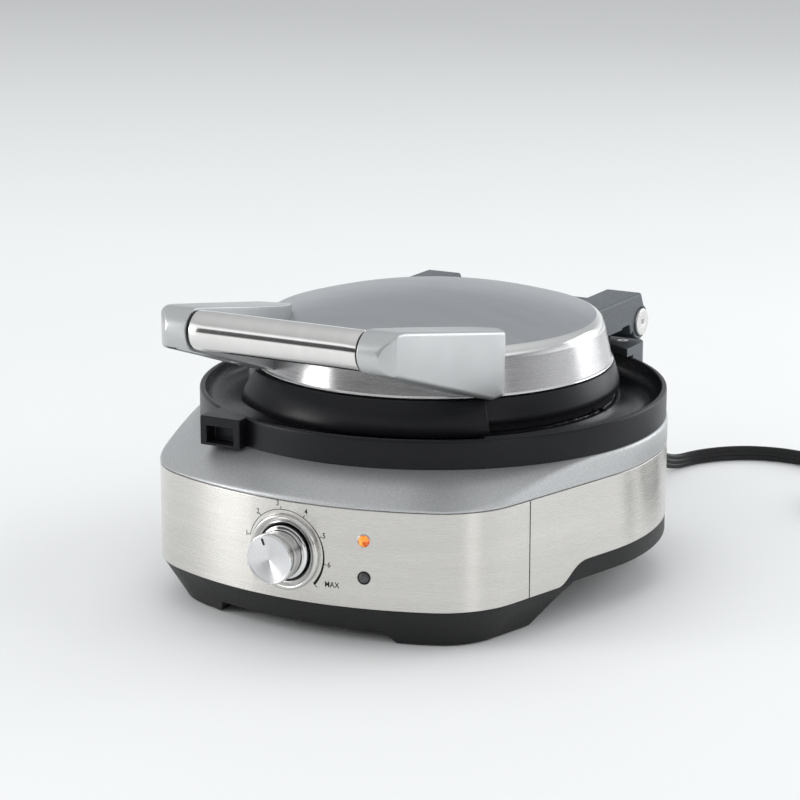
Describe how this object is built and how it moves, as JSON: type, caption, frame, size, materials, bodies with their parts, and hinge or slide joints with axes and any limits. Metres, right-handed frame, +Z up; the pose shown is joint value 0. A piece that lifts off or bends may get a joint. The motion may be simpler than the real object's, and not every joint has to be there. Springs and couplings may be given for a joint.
{
  "type": "waffle maker",
  "caption": "Round waffle maker with a hinged stainless lid, overflow moat, dial control, grip handle and mains cord",
  "frame": {"origin": "on the counter plane, under the centre of the appliance's box measured without the free cord", "axes": "+X to the appliance's right as seen from above with the front away from +Y, +Y from the dial towards the hinge, +Z up"},
  "size_m": [0.3886, 0.4519, 0.1645],
  "materials": {
    "base_plastic": "matte black",
    "foot_rubber": "matte",
    "brushed_stainless": "brushed",
    "top_silver": "satin, fine grain",
    "nonstick_black": "satin non-stick coating",
    "plate_black": "satin non-stick coating",
    "zinc_steel": "plain sheet steel",
    "screw_steel": "bright",
    "heater_sheath": "dull, heat-tinted",
    "chrome": "polished",
    "gap_black": "gloss black",
    "board_green": "satin board with parts",
    "black_plastic": "satin black",
    "lamp_ring_dark": "satin dark grey",
    "amber_lens": "translucent amber",
    "dark_lens": "translucent smoke",
    "led_clear": "clear",
    "hinge_silver": "satin blue-grey",
    "lid_stainless": "brushed, polished shoulder",
    "cast_silver": "satin light silver",
    "polished_tube": "polished stainless",
    "washer_nylon": "satin natural nylon",
    "sensor_metal": "dull",
    "cord_black": "satin black flexible sheath",
    "plug_black": "satin black moulded",
    "blade_brass": "nickel-plated brass"
  },
  "bodies": {
    "root": {"base_tray": "base_plastic", "rubber_feet": "foot_rubber", "front_fascia": "brushed_stainless", "side_panel_left": "brushed_stainless", "side_panel_right": "brushed_stainless", "rear_panel": "top_silver", "top_cover": "top_silver", "moat_ring": "nonstick_black", "lower_plate": "plate_black", "lower_heater": "heater_sheath", "heat_shield": "zinc_steel", "plate_standoffs": "zinc_steel", "plate_screws": "screw_steel", "temperature_sensor": "sensor_metal", "dial_bezel": "chrome", "dial_well": "gap_black", "potentiometer": "black_plastic", "control_board": "board_green", "ready_beeper": "black_plastic", "power_lamp_ring": "lamp_ring_dark", "ready_lamp_ring": "lamp_ring_dark", "power_lamp_lens": "amber_lens", "ready_lamp_lens": "dark_lens", "lamp_leds": "led_clear", "terminal_block": "washer_nylon", "thermal_fuse": "sensor_metal", "hinge_bracket": "hinge_silver", "bracket_screws": "screw_steel", "hinge_washers": "washer_nylon", "strain_relief": "plug_black", "mains_cord": "cord_black", "cord_coil": "cord_black", "plug_body": "plug_black", "plug_pins": "blade_brass"},
    "lid": {"hinge_arm_left": "hinge_silver", "hinge_arm_right": "hinge_silver", "hinge_pin_left": "chrome", "hinge_pin_right": "chrome", "hinge_screws": "screw_steel", "lid_cover": "lid_stainless", "lid_ring": "nonstick_black", "lid_apron": "nonstick_black", "upper_plate": "plate_black", "upper_heater": "heater_sheath", "lid_frame": "zinc_steel", "lid_standoffs": "zinc_steel", "lid_screws": "screw_steel", "handle_arm_left": "cast_silver", "handle_arm_right": "cast_silver", "grip_tube": "polished_tube", "grip_rings": "black_plastic", "grip_tie_rod": "screw_steel", "handle_screws": "screw_steel", "latch_pin": "screw_steel"},
    "dial": {"dial_knob": "chrome", "dial_shaft": "screw_steel"},
    "latch": {"storage_latch": "black_plastic"}
  },
  "joints": [
    {"name": "lid_hinge", "type": "hinge", "parent": "root", "child": "lid", "pos_m": [0, 0.1384, 0.1174], "axis": [-1, 0, 0], "range_deg": [0, 105]},
    {"name": "browning_dial", "type": "hinge", "parent": "root", "child": "dial", "pos_m": [0, -0.1331, 0.046], "axis": [0, -1, 0], "range_deg": [-152.6, 54.4]},
    {"name": "storage_latch_pivot", "type": "hinge", "parent": "lid", "child": "latch", "pos_m": [-0.06, -0.089, 0.137], "axis": [1, 0, 0], "range_deg": [0, 90]}
  ]
}
